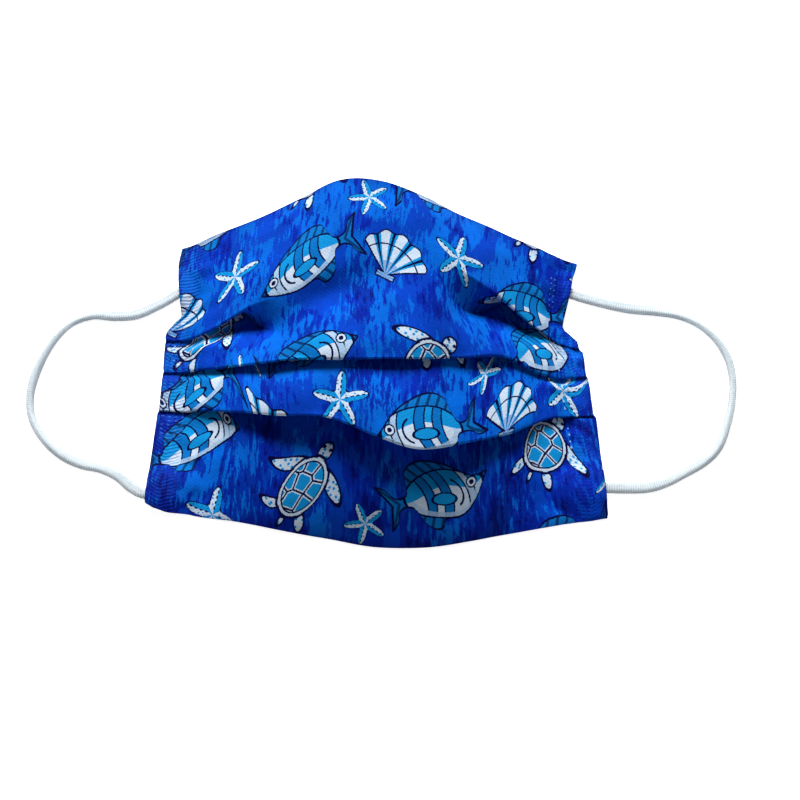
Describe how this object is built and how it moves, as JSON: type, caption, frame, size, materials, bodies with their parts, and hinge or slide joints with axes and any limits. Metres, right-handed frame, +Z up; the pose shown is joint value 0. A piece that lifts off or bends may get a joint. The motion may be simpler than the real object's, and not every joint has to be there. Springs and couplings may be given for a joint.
{
  "type": "child disposable face mask",
  "caption": "Child's disposable face mask of pleated printed nonwoven lying on a table outer side up, its pleats part open, with white elastic ear loops.",
  "frame": {"origin": "on the table, below the middle of the cloth's outline (without the ear loops)", "axes": "+X across the mask, along its pleats; +Y from the chin edge to the nose edge; +Z up from the table, out of the printed side"},
  "size_m": [0.2255, 0.1134, 0.0313],
  "materials": {
    "cloth": "printed spunbond nonwoven, matt with a slight sheen, white on its inner face",
    "elastic": "knitted elastic, soft and matt",
    "elastic_weld": "elastic fused flat by a weld, slightly glossy"
  },
  "bodies": {
    "root": {"pleated_body": "cloth", "ear_loop_left": "elastic", "ear_loop_right": "elastic", "loop_weld_upper_left": "elastic_weld", "loop_weld_lower_left": "elastic_weld", "loop_weld_upper_right": "elastic_weld", "loop_weld_lower_right": "elastic_weld"}
  },
  "joints": []
}
